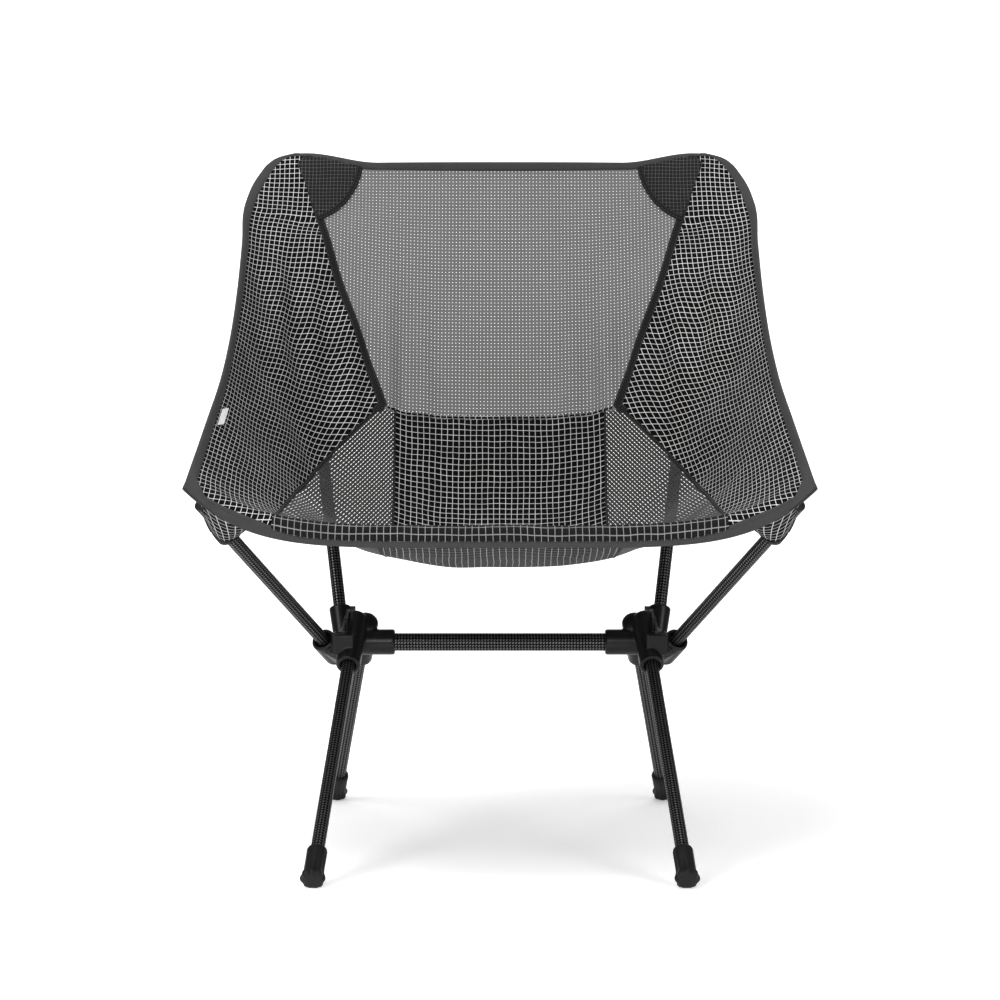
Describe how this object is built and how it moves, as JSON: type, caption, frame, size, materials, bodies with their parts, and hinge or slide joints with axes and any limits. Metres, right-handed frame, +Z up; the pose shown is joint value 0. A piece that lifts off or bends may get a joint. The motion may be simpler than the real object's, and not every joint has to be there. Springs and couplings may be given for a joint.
{
  "type": "backpacking chair",
  "caption": "Low sling camp chair: a shock-corded pole frame on two moulded hubs carries a ripstop and open mesh seat by sewn corner pockets.",
  "frame": {"origin": "on the ground, midway between the two sides and between the front and rear extremes", "axes": "+X towards the right-hand side in the front view, +Y towards the back of the chair, +Z up"},
  "size_m": [0.5184, 0.4718, 0.6406],
  "materials": {
    "carbon": "gloss clear coat over a woven black carbon-look wrap",
    "hub": "satin moulded glass-filled nylon, near black",
    "cap": "satin moulded nylon",
    "foot": "matte black rubber with a lobed tread rim",
    "ferrule": "bare drawn aluminium",
    "cord": "braided elastic shock cord, black",
    "ripstop": "black ripstop nylon with a fine pale grid",
    "open_mesh": "grey open knitted mesh",
    "binding": "charcoal grosgrain binding tape, lockstitched"
  },
  "bodies": {
    "frame": {"back_mesh_panel": "open_mesh", "crossbar": "carbon", "front_arm_cap_left": "cap", "front_arm_cap_right": "cap", "front_arm_cord_left": "cord", "front_arm_cord_right": "cord", "front_arm_left": "carbon", "front_arm_right": "carbon", "front_binding": "binding", "front_leg_cord_left": "cord", "front_leg_cord_right": "cord", "front_strip": "ripstop", "hub_left": "hub", "hub_right": "hub", "rear_leg_cord_left": "cord", "rear_leg_cord_right": "cord", "rear_pole_cap_left": "cap", "rear_pole_cap_right": "cap", "rear_pole_cord_left": "cord", "rear_pole_cord_right": "cord", "rear_pole_ferrule_left": "ferrule", "rear_pole_ferrule_right": "ferrule", "rear_pole_lower_left": "carbon", "rear_pole_lower_right": "carbon", "rear_pole_upper_left": "carbon", "rear_pole_upper_right": "carbon", "seam_tape_left": "binding", "seam_tape_right": "binding", "seat_mesh_left": "open_mesh", "seat_mesh_right": "open_mesh", "seat_panel": "ripstop", "side_binding_left": "binding", "side_binding_right": "binding", "side_panel_left": "ripstop", "side_panel_right": "ripstop", "top_binding": "binding", "top_corner_patch_left": "binding", "top_corner_patch_right": "binding"},
    "front_leg_left": {"front_leg_left": "carbon", "front_foot_left": "foot"},
    "rear_leg_left": {"rear_leg_left": "carbon", "rear_foot_left": "foot"},
    "front_pocket_left": {"front_pocket_left": "ripstop", "front_corner_left": "binding"},
    "top_pocket_left": {"top_pocket_left": "ripstop", "top_corner_left": "binding"},
    "front_leg_right": {"front_leg_right": "carbon", "front_foot_right": "foot"},
    "rear_leg_right": {"rear_leg_right": "carbon", "rear_foot_right": "foot"},
    "front_pocket_right": {"front_pocket_right": "ripstop", "front_corner_right": "binding"},
    "top_pocket_right": {"top_pocket_right": "ripstop", "top_corner_right": "binding"}
  },
  "joints": [
    {"name": "front_leg_pull_left", "type": "slide", "parent": "frame", "child": "front_leg_left", "axis": [-0.0672, -0.7919, -0.6069], "range_m": [0, 0.036], "stiffness_N_per_m": 150, "springref_m": -0.03},
    {"name": "rear_leg_pull_left", "type": "slide", "parent": "frame", "child": "rear_leg_left", "axis": [-0.1467, 0.7204, -0.6778], "range_m": [0, 0.036], "stiffness_N_per_m": 150, "springref_m": -0.03},
    {"name": "front_pocket_pull_left", "type": "slide", "parent": "frame", "child": "front_pocket_left", "axis": [-0.3734, -0.7468, 0.5504], "range_m": [0, 0.042], "stiffness_N_per_m": 250, "springref_m": -0.01},
    {"name": "top_pocket_pull_left", "type": "slide", "parent": "frame", "child": "top_pocket_left", "axis": [-0.131, 0.3951, 0.9093], "range_m": [0, 0.042], "stiffness_N_per_m": 250, "springref_m": -0.01},
    {"name": "front_leg_pull_right", "type": "slide", "parent": "frame", "child": "front_leg_right", "axis": [0.0672, -0.7919, -0.6069], "range_m": [0, 0.036], "stiffness_N_per_m": 150, "springref_m": -0.03},
    {"name": "rear_leg_pull_right", "type": "slide", "parent": "frame", "child": "rear_leg_right", "axis": [0.1467, 0.7204, -0.6778], "range_m": [0, 0.036], "stiffness_N_per_m": 150, "springref_m": -0.03},
    {"name": "front_pocket_pull_right", "type": "slide", "parent": "frame", "child": "front_pocket_right", "axis": [0.3734, -0.7468, 0.5504], "range_m": [0, 0.042], "stiffness_N_per_m": 250, "springref_m": -0.01},
    {"name": "top_pocket_pull_right", "type": "slide", "parent": "frame", "child": "top_pocket_right", "axis": [0.131, 0.3951, 0.9093], "range_m": [0, 0.042], "stiffness_N_per_m": 250, "springref_m": -0.01}
  ]
}
